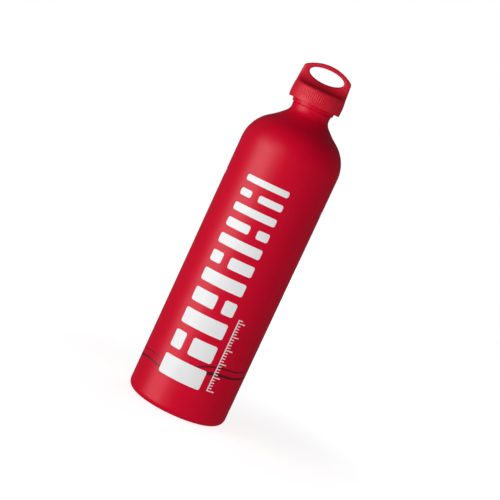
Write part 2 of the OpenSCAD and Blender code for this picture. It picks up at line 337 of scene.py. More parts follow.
# Finishes


class Nodes:
    """A small hand for building one material's node tree."""

    def __init__(self, name):
        self.material = bpy.data.materials.new(name)
        self.material.use_nodes = True
        self.tree = self.material.node_tree
        self.tree.nodes.clear()
        self.output = self.tree.nodes.new("ShaderNodeOutputMaterial")

    def node(self, kind, inputs=(), **settings):
        """Adds a node, sets its attributes, and links or sets its inputs."""
        made = self.tree.nodes.new(kind)
        for key, value in settings.items():
            setattr(made, key, value)
        for key, value in dict(inputs).items():
            socket = made.inputs[key]
            if isinstance(value, bpy.types.NodeSocket):
                self.tree.links.new(value, socket)
            else:
                socket.default_value = value
        return made

    def math(self, operation, a, b=0.0, c=0.0, clamp=False):
        """One arithmetic step."""
        return self.node("ShaderNodeMath", {0: a, 1: b, 2: c}, operation=operation, use_clamp=clamp).outputs[0]

    def place(self, scale=1.0, stretch=(1, 1, 1)):
        """Object position in millimetres, scaled."""
        where = self.node("ShaderNodeTexCoord").outputs["Object"]
        size = [scale * s / MM for s in stretch]
        return self.node("ShaderNodeMapping", {"Vector": where, "Scale": size}).outputs[0]

    def noise(self, vector, scale, detail=2.0, roughness=0.5):
        """Fractal noise from 0 to 1."""
        return self.node(
            "ShaderNodeTexNoise",
            {"Vector": vector, "Scale": scale, "Detail": detail, "Roughness": roughness},
        ).outputs["Fac"]

    def spread(self, value, low, high, clamp=True):
        """Carries 0 to 1 over to low to high."""
        return self.node(
            "ShaderNodeMapRange", {"Value": value, "To Min": low, "To Max": high}, clamp=clamp
        ).outputs[0]

    def step(self, value, low, high):
        """0 below low, 1 above high, smooth between."""
        return self.node(
            "ShaderNodeMapRange", {"Value": value, "From Min": low, "From Max": high},
            interpolation_type="SMOOTHSTEP",
        ).outputs[0]

    def tint(self, factor, first, second):
        """Mixes two colours."""
        mix = self.node("ShaderNodeMix", data_type="RGBA")
        for key, value in ((0, factor), (6, first), (7, second)):
            if isinstance(value, bpy.types.NodeSocket):
                self.tree.links.new(value, mix.inputs[key])
            else:
                mix.inputs[key].default_value = value if key == 0 else (*value[:3], 1)
        return mix.outputs[2]

    def bump(self, height, distance, strength=1.0, normal=None):
        """A bump of a height in metres."""
        inputs = {"Height": height, "Distance": distance, "Strength": strength}
        if normal is not None:
            inputs["Normal"] = normal
        return self.node("ShaderNodeBump", inputs).outputs[0]

    def surface(self, **inputs):
        """The principled shader, with names written with underscores."""
        named = {key.replace("_", " "): value for key, value in inputs.items()}
        return self.node("ShaderNodeBsdfPrincipled", named).outputs[0]

    def finish(self, shader):
        """Links the shader to the output and gives the material."""
        self.tree.links.new(shader, self.output.inputs["Surface"])
        return self.material


def shade(base, factor):
    """A colour made lighter or darker."""
    return tuple(min(1.0, c * factor) for c in base)


def red_lacquer(colours):
    """Satin powder lacquer: faint orange peel, rubbed spots, and bare metal in scuffs on the standing ring."""
    n = Nodes("red_lacquer")
    where = n.place()
    peel = n.noise(where, 0.8, 2.0, 0.4)
    grain = n.noise(where, 4.2, 2.0, 0.6)
    cloud = n.noise(where, 0.035, 3.0, 0.55)
    tone = n.tint(cloud, shade(colours.lacquer, 0.97), shade(colours.lacquer, 1.03))
    rough = n.math("ADD", n.spread(cloud, 0.30, 0.34), n.spread(grain, -0.02, 0.02))
    height = n.math("ADD", n.math("MULTIPLY", peel, 0.7), n.math("MULTIPLY", grain, 0.3))
    normal = n.bump(height, 0.012 * MM, 0.5)
    lacquer = n.surface(
        Base_Color=tone, Roughness=rough, IOR=1.5, Specular_IOR_Level=0.29, Normal=normal,
    )
    parts = n.node("ShaderNodeSeparateXYZ", {0: n.node("ShaderNodeTexCoord").outputs["Object"]})
    low = n.math("SUBTRACT", 1.0, n.step(parts.outputs["Z"], 0.05 * MM, 0.5 * MM))
    turn = n.math("ARCTAN2", parts.outputs["Y"], parts.outputs["X"])
    out = n.math("SQRT", n.math("ADD", *(n.math("POWER", parts.outputs[k], 2.0) for k in "XY")))
    streak = n.node(
        "ShaderNodeCombineXYZ", {0: n.math("MULTIPLY", turn, 5.0), 1: n.math("MULTIPLY", out, 1600.0)}
    ).outputs[0]
    scratch = n.noise(streak, 1.0, 6.0, 0.7)
    scuff = n.math("MULTIPLY", low, n.step(scratch, 0.54, 0.6))
    metal = n.surface(Base_Color=(0.72, 0.72, 0.73, 1), Metallic=0.5, Roughness=0.45)
    mixed = n.node("ShaderNodeMixShader", {0: scuff, 1: lacquer, 2: metal}).outputs[0]
    return n.finish(mixed)


def turned_aluminium(colours):
    """Bare aluminium with fine turning marks round the axis."""
    n = Nodes("turned_aluminium")
    where = n.node("ShaderNodeTexCoord").outputs["Object"]
    parts = n.node("ShaderNodeSeparateXYZ", {0: where})
    squares = [n.math("POWER", parts.outputs[k], 2.0) for k in (0, 1)]
    flat = n.math("SQRT", n.math("ADD", squares[0], squares[1]))
    along = n.node("ShaderNodeCombineXYZ", {0: flat, 1: parts.outputs[2]}).outputs[0]
    marks = n.node("ShaderNodeVectorMath", {0: along, 1: (9000, 9000, 0)}, operation="MULTIPLY").outputs[0]
    fine = n.noise(marks, 1.0, 3.0)
    broad = n.noise(n.place(), 0.12, 3.0)
    tone = n.tint(n.spread(broad, 0, 1), shade(colours.aluminium, 0.86), colours.aluminium)
    rough = n.math("ADD", n.spread(fine, 0.24, 0.40), n.spread(broad, -0.03, 0.05))
    normal = n.bump(fine, 0.02 * MM, 0.45)
    return n.finish(n.surface(Base_Color=tone, Metallic=1.0, Roughness=rough, Normal=normal))


def moulded(name, base, roughness, grain_size, grain_depth, seam=False):
    """Injection-moulded plastic with a spark-eroded grain and, if asked, a fine seam in the XZ plane."""
    n = Nodes(name)
    where = n.place()
    grain = n.noise(where, 1 / grain_size, 3.0, 0.6)
    cloud = n.noise(where, 0.09, 3.0, 0.5)
    tone = n.tint(cloud, shade(base, 0.95), shade(base, 1.05))
    rough = n.math("ADD", n.spread(cloud, roughness - 0.04, roughness + 0.04), n.spread(grain, -0.05, 0.05))
    height = grain
    if seam:
        across = n.node("ShaderNodeSeparateXYZ", {0: where}).outputs["Y"]
        line = n.math("SUBTRACT", 1.0, n.step(n.math("ABSOLUTE", across), 0.05, 0.16))
        up = n.node("ShaderNodeSeparateXYZ", {0: where}).outputs["Z"]
        line = n.math("MULTIPLY", line, n.step(up, SKIRT_Z / MM + 14, SKIRT_Z / MM + 16))
        height = n.math("ADD", n.math("MULTIPLY", grain, 0.5), n.math("MULTIPLY", line, 1.5))
    normal = n.bump(height, grain_depth, 0.6)
    return n.finish(
        n.surface(Base_Color=tone, Roughness=rough, IOR=1.5, Specular_IOR_Level=0.38, Normal=normal)
    )


def soft_rubber(colours):
    """Matt seal rubber with a little bloom."""
    n = Nodes("seal_rubber")
    where = n.place()
    bloom = n.noise(where, 0.5, 4.0, 0.65)
    tone = n.tint(bloom, colours.rubber, shade(colours.rubber, 2.0))
    normal = n.bump(n.noise(where, 5.0, 2.0), 0.02 * MM, 0.5)
    return n.finish(n.surface(Base_Color=tone, Roughness=n.spread(bloom, 0.62, 0.8), Normal=normal))


def bright_steel(colours):
    """Drawn and stamped steel with fine streaks."""
    n = Nodes("bright_steel")
    streak = n.noise(n.place(1.0, (1, 1, 8)), 1.2, 4.0, 0.6)
    tone = n.tint(streak, shade(colours.steel, 0.85), colours.steel)
    normal = n.bump(streak, 0.01 * MM, 0.4)
    return n.finish(
        n.surface(Base_Color=tone, Metallic=1.0, Roughness=n.spread(streak, 0.22, 0.38), Normal=normal)
    )


def printed_ink(name, base, roughness):
    """Screen-printed ink: even, with a faint mesh texture and thin spots."""
    n = Nodes(name)
    where = n.place()
    thin = n.noise(where, 1.6, 3.0, 0.6)
    tone = n.tint(thin, shade(base, 0.96), shade(base, 1.02))
    weave = n.noise(where, 6.0, 1.0)
    normal = n.bump(weave, 0.008 * MM, 0.5)
    rough = n.spread(thin, roughness - 0.04, roughness + 0.04)
    return n.finish(n.surface(Base_Color=tone, Roughness=rough, Normal=normal))


# Bottle


def bottle_outline(size):
    """Half section of the bottle: from the middle of the base up the outside, over the rim and down the inside."""
    radius = size.radius - size.skin
    ring = size.radius - size.corner_radius - size.standing_ring
    dome_r = (ring ** 2 + size.dome_rise ** 2) / (2 * size.dome_rise)
    dome_a = math.degrees(math.asin(ring / dome_r))
    dome_c = (0.0, size.dome_rise - dome_r)
    slope = math.degrees(size.slope_angle)
    shoulder_c = (radius - size.shoulder_radius, size.straight_height)
    waist = size.waist
    reach = waist + size.neck_radius + (size.slope_radius - size.neck_radius) * math.cos(size.slope_angle)
    turn_a = math.acos((reach - shoulder_c[0]) / (size.shoulder_radius + size.slope_radius))
    far = size.shoulder_radius + size.slope_radius
    slope_c = (shoulder_c[0] + far * math.cos(turn_a), shoulder_c[1] + far * math.sin(turn_a))
    near = size.slope_radius - size.neck_radius
    neck_c = (
        slope_c[0] - near * math.cos(size.slope_angle), slope_c[1] - near * math.sin(size.slope_angle)
    )
    steep = math.degrees(turn_a)
    bead_z = BODY_TOP - size.bead_height
    bead_a = math.degrees(math.asin((bead_z - neck_c[1]) / size.neck_radius))
    edge = 0.8 * MM
    bore = waist - size.neck_wall
    inner_corner = size.corner_radius - 1.5 * MM
    outside = (
        arc(dome_c, dome_r, 90, 90 - dome_a, 14)
        + [(size.radius - size.corner_radius - 1 * MM, 0.0)]
        + arc((radius - size.corner_radius, size.corner_radius), size.corner_radius, -90, 0, 20)
        + [(radius, z * MM) for z in range(20, 230, 15)]
        + arc(shoulder_c, size.shoulder_radius, 0, steep, 40)
        + arc(slope_c, size.slope_radius, 180 + steep, 180 + slope, 14)[1:]
        + arc(neck_c, size.neck_radius, 180 + slope, 180 - bead_a, 20)[1:]
        + [(waist - 0.1 * MM, bead_z + 0.1 * MM), (waist - 0.1 * MM, bead_z + 0.45 * MM)]
        + [(size.bead - size.bead_lean, bead_z + size.bead_bevel)]
        + [(size.bead, bead_z + size.bead_bevel + size.bead_lean_height)]
        + arc((size.bead - edge, BODY_TOP - edge), edge, 0, 90, 8)
    )
    mouth = [(bore + 0.8 * MM, BODY_TOP), (bore, BODY_TOP - 0.8 * MM)]
    threaded = [(bore, BODY_TOP - 0.8 * MM - k * 0.1 * MM) for k in range(1, 96)]
    threaded = [p for p in threaded if p[1] > neck_c[1]]
    inside = (
        arc(neck_c, size.neck_radius + size.neck_wall, 180, 180 + slope, 24)
        + arc(shoulder_c, size.shoulder_radius - size.wall, steep, 0, 24)
        + [(radius - size.wall, z * MM) for z in (200, 150, 100, 50, 20)]
        + arc(
            (radius - size.wall - inner_corner, size.base_thickness + inner_corner), inner_corner, 0, -90, 12
        )
        + arc((0.0, dome_c[1] + size.base_thickness), dome_r, 90 - dome_a, 90, 10)
    )
    whole = softened(outside[:-1], 0.5 * MM, 9.0) + [outside[-1]] + mouth + threaded + inside
    whole[0] = (0.0, whole[0][1])
    whole[-1] = (0.0, whole[-1][1])
    return whole


def groove_share(angle, height, pitch, half_open, flank):
    """1 in the middle of the thread's groove and 0 between its turns."""
    off = (height - BODY_TOP - pitch * angle / TAU) / pitch
    off = np.abs(off - np.round(off)) * pitch
    return np.clip((half_open - off) / flank, 0.0, 1.0)


class FUELBOTTLE_OT_body(bpy.types.Operator):
    """Turn the bottle's body, with the thread cut into its neck"""

    bl_idname = "fuel_bottle.body"
    bl_label = "Bottle Body"

    def execute(self, context):
        size, thread = context.scene.fuel_bottle_body, context.scene.fuel_bottle_thread
        colours = context.scene.fuel_bottle_finish
        bore = size.waist - size.neck_wall
        edge_r = size.bead - 0.5 * MM

        def cut(angles, r, z):
            if z < thread.neck_low or r > bore + 0.81 * MM:
                return np.full(len(angles), r)
            share = groove_share(angles, z, thread.pitch, 1.1 * MM, 0.46 * MM)
            run_out = np.clip((z - thread.neck_low) / (1.2 * MM), 0, 1)
            return np.maximum(r, bore + thread.depth * share * run_out)

        past_rim = [False]

        def finish_of(first, second):
            if first[1] > BODY_TOP - 0.05 * MM and first[0] < edge_r:
                past_rim[0] = True
            return 1 if past_rim[0] else 0

        materials = [red_lacquer(colours), turned_aluminium(colours)]
        body = lathe("bottle_body", bottle_outline(size), size.facets, materials, finish_of, cut, sharp=50.0)
        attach(body, "bottle")
        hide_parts("bottle")
        return {"FINISHED"}


# Prints


def ink_patch(outline_rows, radius, depth):
    """A thin closed patch on the body. Each row is (height, left angle, right angle)."""
    columns = 24
    points, faces = [], []
    for level in (radius, radius - depth):
        for height, left, right in outline_rows:
            for k in range(columns + 1):
                angle = left + (right - left) * k / columns
                points.append((level * math.sin(angle), -level * math.cos(angle), height))
    wide, rows = columns + 1, len(outline_rows)
    half = wide * rows
    for j in range(rows - 1):
        for k in range(columns):
            a = j * wide + k
            faces.append((a, a + 1, a + 1 + wide, a + wide))
            faces.append((half + a, half + a + wide, half + a + 1 + wide, half + a + 1))
    ring = [k for k in range(wide)]
    ring += [j * wide + wide - 1 for j in range(1, rows)]
    ring += [(rows - 1) * wide + k for k in range(wide - 2, -1, -1)]
    ring += [j * wide for j in range(rows - 2, 0, -1)]
    for a, b in zip(ring, ring[1:] + ring[:1]):
        faces.append((b, a, half + a, half + b))
    return points, faces


def rounded_bar(low, high, left, right, radius, corner):
    """Rows of a bar with rounded corners, for ink_patch."""
    rows = []
    for z, inset in (
        [(low + corner * (1 - math.cos(a)), corner * (1 - math.sin(a))) for a in np.radians(range(0, 91, 15))]
        + [(high - corner * (1 - math.cos(a)), corner * (1 - math.sin(a))) for a in np.radians(range(90, -1, -15))]
    ):
        rows.append((z, left + inset / radius, right - inset / radius))
    return rows


def merged(patches):
    """Several patches as one list of points and faces."""
    points, faces = [], []
    for more_points, more_faces in patches:
        start = len(points)
        points += more_points
        faces += [tuple(start + i for i in face) for face in more_faces]
    return points, faces


def wave_band(radius, depth, height_at, width_at, steps=480):
    """A thin closed band all round the body, whose middle and width follow the angle."""
    points, faces = [], []
    for k in range(steps):
        angle = TAU * k / steps
        middle, half = height_at(angle), width_at(angle) / 2
        low, high, inner = middle - half, middle + half, radius - depth
        for level, z in ((radius, low), (radius, high), (inner, high), (inner, low)):
            points.append((level * math.sin(angle), -level * math.cos(angle), z))
    for k in range(steps):
        a, b = k * 4, ((k + 1) % steps) * 4
        for i in range(4):
            j = (i + 1) % 4
            faces.append((a + i, b + i, b + j, a + j))
    return points, faces


class FUELBOTTLE_OT_prints(bpy.types.Operator):
    """Print the plain bars, the fine scale, the wave lines and the fill line"""

    bl_idname = "fuel_bottle.prints"
    bl_label = "Prints"

    def execute(self, context):
        size, layout = context.scene.fuel_bottle_body, context.scene.fuel_bottle_print
        colours = context.scene.fuel_bottle_finish
        white = printed_ink("white_ink", colours.white_ink, 0.5)
        dark = printed_ink("dark_red_ink", colours.dark_ink, 0.42)
        face, depth = size.radius - 0.004 * MM, 0.04 * MM

        count = layout.bar_count
        share = np.array([0.89 ** k for k in range(count)])
        heights = share / share.sum() * (layout.bars_high - layout.bars_low - (count - 1) * layout.bar_gap)
        bars, low = [], layout.bars_low
        for k, tall in enumerate(heights):
            corner = min(1.8 * MM, tall / 2.2)
            ends = [(layout.bars_left, layout.bars_right)]
            if k % 2:
                share_left = 0.36 if k % 4 == 1 else 0.64
                middle = layout.bars_left + share_left * (layout.bars_right - layout.bars_left)
                half_gap = layout.bar_gap / face / 2
                ends = [(layout.bars_left, middle - half_gap), (middle + half_gap, layout.bars_right)]
            for left, right in ends:
                bars.append(ink_patch(rounded_bar(low, low + tall, left, right, face, corner), face, depth))
            low += tall + layout.bar_gap
        self.print(context, "printed_bars", merged(bars), white)

        line = 0.9 * MM / face
        at = layout.scale_angle
        ticks = [ink_patch([(layout.scale_low, at, at + line), (layout.scale_high, at, at + line)], face, depth)]
        total = 26
        for k in range(total + 1):
            z = layout.scale_low + (layout.scale_high - layout.scale_low - 0.8 * MM) * k / total
            reach = (7.2 if k % 5 == 0 else 3.8) * MM / face
            rows = [(high, at + line * 1.001, at + reach) for high in (z, z + 0.8 * MM)]
            ticks.append(ink_patch(rows, face, depth))
        self.print(context, "printed_scale", merged(ticks), white)

        start, end = math.radians(79), math.radians(281)
        low, thick, wide = layout.fill_height, 1.1 * MM, 1.4 * MM / face
        marks = []
        for k in range(12):
            left, right = (start + (k + i) * (end - start) / 12 for i in (0, 1))
            marks.append(ink_patch([(z, left, right) for z in (low, low + thick)], face, depth))
        for left in (start, end - wide):
            rows = [(z, left, left + wide) for z in (low - 3.2 * MM, low - 0.02 * MM)]
            marks.append(ink_patch(rows, face, depth))
        self.print(context, "printed_fill_line", merged(marks), white)

        low_face = face - 0.008 * MM
        bands = []
        for rise, wide in ((0.0, 2.3), (6.0, 1.3)):
            def height_at(a, rise=rise):
                swell = 8.5 * math.sin(a + 0.7) + 4.2 * math.sin(2 * a - 0.6) + 1.8 * math.sin(5 * a)
                return layout.wave_height + (swell + rise) * MM

            def width_at(a, wide=wide):
                return wide * MM * (1 + 0.3 * math.sin(3 * a + 1))

            bands.append(wave_band(low_face, depth - 0.008 * MM, height_at, width_at))
        self.print(context, "printed_waves", merged(bands), dark)
        return {"FINISHED"}

    def print(self, context, name, shape, ink):
        """Lays one colour of print on the bottle."""
        piece = mesh_piece(name, shape[0], shape[1], [ink], sharp=60.0)
        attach(piece, "bottle")


# Cap shell


def round_cut(a, b, radius, lean=0.0):
    """The part inside both fields, with the edge between them rounded.

    lean is the cosine of the angle between the two faces' normals.
    """
    a, b = a + radius, b + radius
    span = np.maximum(a * a + b * b - 2 * lean * a * b, 0) / (1 - lean * lean)
    corner = (a > lean * b) & (b > lean * a)
    return np.where(corner, np.sqrt(span), np.maximum(a, b)) - radius


def round_join(a, b, radius, lean=0.0):
    """Both fields together, with a hollow sweep where they meet."""
    return -round_cut(-a, -b, radius, lean)


def soft_step(value, low, high):
    """0 below low, 1 above high, smooth between."""
    t = np.clip((value - low) / (high - low), 0, 1)
    return t * t * (3 - 2 * t)


class ShellField:
    """Distance to the cap shell's surface in millimetres, negative inside. Heights start at the skirt's edge."""

    def __init__(self, size):
        for key in (
            "skirt_radius", "skirt_height", "height", "loop_thickness", "loop_arch", "loop_corner", "loop_edge",
            "root", "hole_width", "hole_height", "hole_centre", "cavity", "roof", "rib_height",
        ):
            setattr(self, key, getattr(size, key) / MM)
        self.slope = size.top_slope

    def side(self, z):
        """Radius of the cap's outside at a height: a skirt that bulges a little, and the taper above it."""
        wide_z = self.skirt_height - 7.6
        low = -0.3 * (1 - z / wide_z) ** 2
        high = -0.6 * ((z - wide_z) / (self.skirt_height - wide_z)) ** 2
        taper = -0.6 - (z - self.skirt_height) * math.tan(math.radians(4.6))
        drop = np.where(z < wide_z, low, np.where(z < self.skirt_height, high, taper))
        return self.skirt_radius + drop

    def ribs(self, angle, z):
        """How far the grip ribs stand out on the front and back of the skirt."""
        front = np.abs(np.abs(angle) - math.pi / 2)
        pitch = math.radians(4.5)
        wave = 0.5 + 0.5 * np.cos(TAU * (front / pitch))
        rib = soft_step(wave, 0.35, 0.8)
        panel = 1 - soft_step(front, math.radians(38.0), math.radians(39.5))
        tall = soft_step(z, 3.4, 4.3) * (1 - soft_step(z, 10.0, 10.9))
        return self.rib_height * rib * panel * tall

    def __call__(self, p):
        x, y, z = p[..., 0], p[..., 1], p[..., 2]
        rho = np.hypot(x, y)
        angle = np.arctan2(y, x)
        side = rho - self.side(z) - self.ribs(angle, z)
        foot = -z
        top = (z - self.skirt_height - (self.skirt_radius - np.abs(y)) * math.tan(self.slope)) * math.cos(self.slope)
        plate = np.abs(y) - self.loop_thickness / 2
        arch = np.hypot(x, z - (self.height - self.loop_arch)) - self.loop_arch
        solid = round_join(top, plate, self.root, math.sin(self.slope))
        half_w, half_h = self.hole_width / 2, self.hole_height / 2
        hx, hz = x, z - self.hole_centre
        scaled = np.hypot(hx / half_w, hz / half_h)
        steep = np.hypot(hx / half_w ** 2, hz / half_h ** 2)
        hole = scaled * (scaled - 1) / np.maximum(steep, 1e-6)
        solid = round_cut(solid, -hole, self.loop_edge)
        envelope = round_cut(side, arch, self.loop_corner, math.cos(math.radians(50)))
        near_loop = 1 - soft_step(np.abs(y), 4.0, 9.0)
        edge = 2.0 - (2.0 - self.loop_edge) * near_loop
        solid = round_cut(solid, envelope, edge)
        solid = round_cut(solid, foot, 0.35)
        return round_cut(solid, -self.hollow(x, y, z, rho, angle), 0.3)

    def hollow(self, x, y, z, rho, angle):
        """The space under the cap: the cavity less the spring guide and the clutch's lugs, plus the ring's groove."""
        cavity = np.maximum(rho - self.cavity, z - self.roof)
        cavity = np.minimum(cavity, np.maximum(rho - self.cavity - 0.5, z - 0.5))
        groove = np.maximum(rho - self.cavity - 0.6, np.maximum(GROOVE_LOW - z, z - GROOVE_LOW - 1.5))
        cavity = np.minimum(cavity, groove)
        guide = round_cut(rho - 7.9, self.roof - 4.5 - z, 0.5)
        pitch = TAU / 12
        turned = np.abs((angle - math.pi / 12 + pitch / 2) % pitch - pitch / 2)
        lug = np.maximum(rho * (turned - math.radians(6.5)), np.maximum(14.8 - rho, rho - 19.2))
        lug = round_cut(lug, self.roof - 2.6 - z, 0.4)
        return np.maximum(cavity, -np.minimum(guide, lug))


GROOVE_LOW = (RING_Z - SKIRT_Z) / MM


def cast(field, low, high, cell):
    """Turns a distance field into points and quads: one point for each cell of the grid that the surface crosses."""
    axes = [np.arange(a, b + cell, cell) for a, b in zip(low, high)]
    grid = np.stack(np.meshgrid(*axes, indexing="ij"), -1)
    value = field(grid)
    inside = value < 0
    corners = [(i, j, k) for i in (0, 1) for j in (0, 1) for k in (0, 1)]
    nx, ny, nz = (s - 1 for s in value.shape)

    def corner(array, c):
        return array[c[0]:c[0] + nx, c[1]:c[1] + ny, c[2]:c[2] + nz]

    count = sum(corner(inside, c).astype(np.int8) for c in corners)
    crossed = (count > 0) & (count < 8)
    number = np.full(crossed.shape, -1, np.int64)
    number[crossed] = np.arange(crossed.sum())
    place = np.argwhere(crossed)
    total = np.zeros((len(place), 3))
    hits = np.zeros(len(place))
    for a in corners:
        for axis in range(3):
            if a[axis]:
                continue
            b = tuple(v + (i == axis) for i, v in enumerate(a))
            va, vb = corner(value, a)[crossed], corner(value, b)[crossed]
            cross = (va < 0) != (vb < 0)
            t = np.where(cross, va / np.where(cross, va - vb, 1), 0)
            point = np.array(a, float) + np.outer(t, np.eye(3)[axis])
            total += point * cross[:, None]
            hits += cross
    points = (place + total / hits[:, None]) * cell + np.array(low)
    faces = []
    for axis in range(3):
        u, v = (axis + 1) % 3, (axis + 2) % 3
        first = [slice(None)] * 3
        second = [slice(None)] * 3
        first[axis], second[axis] = slice(None, -1), slice(1, None)
        change = inside[tuple(first)] != inside[tuple(second)]
        at = np.argwhere(change)
        at = at[(at[:, u] > 0) & (at[:, v] > 0)]
        step_u, step_v = np.eye(3, dtype=int)[u], np.eye(3, dtype=int)[v]
        quad = [number[tuple((at - s).T)] for s in (step_u + step_v, step_v, 0 * step_u, step_u)]
        quad = np.stack(quad, 1)
        outward = inside[tuple(at.T)]
        quad[~outward] = quad[~outward][:, ::-1]
        faces.append(quad)
    faces = np.concatenate(faces)
    for _ in range(6):
        here = field(points)
        slope = np.stack([
            field(points + 0.02 * np.eye(3)[i]) - field(points - 0.02 * np.eye(3)[i]) for i in range(3)
        ], 1) / 0.04
        size = np.maximum((slope ** 2).sum(1), 0.2)
        move = -(here / size)[:, None] * slope
        points += np.clip(move, -0.3 * cell, 0.3 * cell)
    return points, faces


class FUELBOTTLE_OT_cap_shell(bpy.types.Operator):
    """Cast the moulded cap shell with its loop, ribs and hollow"""

    bl_idname = "fuel_bottle.cap_shell"
    bl_label = "Cap Shell"

    def execute(self, context):
        size, colours = context.scene.fuel_bottle_cap, context.scene.fuel_bottle_finish
        reach = size.skirt_radius / MM + 1.1
        points, faces = cast(
            ShellField(size), (-reach, -reach, -1.03), (reach, reach, size.height / MM + 1.0), size.cell / MM
        )
        points = points * MM + np.array([0, 0, SKIRT_Z])
        plastic = moulded("cap_plastic", colours.cap, 0.42, 0.22, 0.03 * MM, seam=True)
        shell = mesh_piece("cap_shell_moulding", points, faces.tolist(), [plastic], sharp=70.0)
        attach(shell, "shell")
        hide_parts("cap_shell")
        return {"FINISHED"}


# Plug and small parts


class FUELBOTTLE_OT_plug(bpy.types.Operator):
    """Finish the plug and wind the thread round its stem"""

    bl_idname = "fuel_bottle.plug"
    bl_label = "Threaded Plug"

    def execute(self, context):
        thread, body = context.scene.fuel_bottle_thread, context.scene.fuel_bottle_body
        colours = context.scene.fuel_bottle_finish
        plastic = moulded("plug_plastic", colours.plug, 0.38, 0.3, 0.02 * MM)
        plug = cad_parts["screw_plug"]
        plug.data.materials.clear()
        plug.data.materials.append(plastic)

        stem = body.waist - body.neck_wall - 0.08 * MM
        inner = stem - 0.25 * MM
        section = [
            (inner, -0.92), (stem + 0.02 * MM, -0.86), (stem + 0.6 * thread.crest, -0.62),
            (stem + thread.crest, -0.44), (stem + thread.crest, 0.44), (stem + 0.6 * thread.crest, 0.62),
            (stem + 0.02 * MM, 0.86), (inner, 0.92),
        ]
        slot = math.asin(2.15 * MM / stem)
        lowest = TAU * (thread.plug_low - BODY_TOP) / thread.pitch
        highest = TAU * (thread.plug_high - BODY_TOP) / thread.pitch
        points, faces = [], []
        half = math.floor(lowest / math.pi)
        while half * math.pi < highest:
            start = max(half * math.pi + slot, lowest)
            end = min((half + 1) * math.pi - slot, highest)
            half += 1
            if end - start < math.radians(8):
                continue
            steps = max(4, int((end - start) / math.radians(2.5)))
            first = len(points)
            for k in range(steps + 1):
                angle = start + (end - start) * k / steps
                ramp = min(1.0, (angle - lowest) / 0.35, (highest - angle) / 0.35)
                ramp = max(0.02, ramp)
                middle = BODY_TOP + thread.pitch * angle / TAU
                for r, dz in section:
                    reach = r if r <= stem else stem + (r - stem) * ramp
                    points.append((
                        reach * math.cos(angle), reach * math.sin(angle),
                        middle + dz * MM * (0.55 + 0.45 * ramp),
                    ))
            wide = len(section)
            for k in range(steps):
                a, b = first + k * wide, first + (k + 1) * wide
                faces += [(a + i, b + i, b + (i + 1) % wide, a + (i + 1) % wide) for i in range(wide)]
            faces.append(tuple(first + i for i in range(wide)))
            faces.append(tuple(first + steps * wide + i for i in range(wide - 1, -1, -1)))
        ridge = mesh_piece("plug_thread", points, faces, [plastic], sharp=50.0)
        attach(ridge, "plug")
        return {"FINISHED"}


class FUELBOTTLE_OT_small_parts(bpy.types.Operator):
    """Make the gasket, the spring, the thrust washer and the retaining ring"""

    bl_idname = "fuel_bottle.small_parts"
    bl_label = "Small Parts"

    def execute(self, context):
        size, colours = context.scene.fuel_bottle_small, context.scene.fuel_bottle_finish
        rubber, steel = soft_rubber(colours), bright_steel(colours)
        low, high = BODY_TOP, FLANGE_Z
        square = [
            (size.gasket_inner, low), (size.gasket_outer, low), (size.gasket_outer, high), (size.gasket_inner, high)
        ]
        gasket = lathe("gasket_ring", closed_soft(square, 0.35 * MM), 160, [rubber], closed=True)
        self.fit(gasket, "gasket", "mouth_gasket", "seal_rubber")

        low, high = WASHER_Z, WASHER_Z + size.washer_thickness
        inner, outer = size.washer_inner, size.washer_outer
        square = [(inner, low), (outer, low), (outer, high), (inner, high)]
        washer = lathe("washer_ring", closed_soft(square, 0.15 * MM), 120, [steel], closed=True)
        self.fit(washer, "washer", "thrust_washer", "washer_steel")

        self.fit(self.split_ring(size, steel), "shell", "retaining_ring", "washer_steel")
        spring = self.spring(size, steel)
        self.fit(spring, "spring", "clutch_spring", "spring_steel")
        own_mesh(spring)
        return {"FINISHED"}

    def fit(self, piece, body, node, slot):
        """Seats one piece on its body in place of a plain solid."""
        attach(piece, body)
        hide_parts(node)

    def split_ring(self, size, steel):
        """A flat ring with a gap at the back."""
        low, high = RING_Z, RING_Z + size.ring_thickness
        inner, outer = size.ring_inner, size.ring_outer
        square = [(inner, low), (outer, low), (outer, high), (inner, high)]
        section = closed_soft(square, 0.25 * MM)
        gap, steps, wide = math.radians(24), 150, len(section)
        points, faces = [], []
        for k in range(steps + 1):
            angle = math.pi / 2 + gap / 2 + (TAU - gap) * k / steps
            points += [(r * math.cos(angle), r * math.sin(angle), z) for r, z in section]
        for k in range(steps):
            a, b = k * wide, (k + 1) * wide
            faces += [(a + i, b + i, b + (i + 1) % wide, a + (i + 1) % wide) for i in range(wide)]
        faces.append(tuple(range(wide)))
        faces.append(tuple(steps * wide + i for i in range(wide - 1, -1, -1)))
        return mesh_piece("snap_ring", points, faces, [steel])

    def spring(self, size, steel):
        """A compression spring with a closed turn at each end."""
        turns, per_turn, sides = size.coil_turns + 2, 40, 16
        tall = WASHER_Z - SPRING_Z
        closed = size.wire + 0.5 * MM
        free = (tall - size.wire - 2 * closed) / size.coil_turns
        points, faces = [], []
        steps = turns * per_turn
        for k in range(steps + 1):
            t = k / per_turn
            if t < 1:
                z = t * closed
            elif t < turns - 1:
                z = closed + (t - 1) * free
            else:
                z = closed + size.coil_turns * free + (t - turns + 1) * closed
            for i in range(sides):
                a = TAU * i / sides
                r = size.coil / 2 + size.wire / 2 * math.cos(a)
                points.append((
                    r * math.cos(TAU * t), r * math.sin(TAU * t),
                    SPRING_Z + size.wire / 2 + z + size.wire / 2 * math.sin(a),
                ))
        for k in range(steps):
            a, b = k * sides, (k + 1) * sides
            faces += [(a + i, b + i, b + (i + 1) % sides, a + (i + 1) % sides) for i in range(sides)]
        faces.append(tuple(range(sides)))
        faces.append(tuple(steps * sides + i for i in range(sides - 1, -1, -1)))
        return mesh_piece("coil_spring", points, faces, [steel])


def closed_soft(corners, radius):
    """A closed section with all its corners rounded."""
    ring = [corners[-1], *corners, corners[0]]
    return softened(ring, radius)[1:-1]


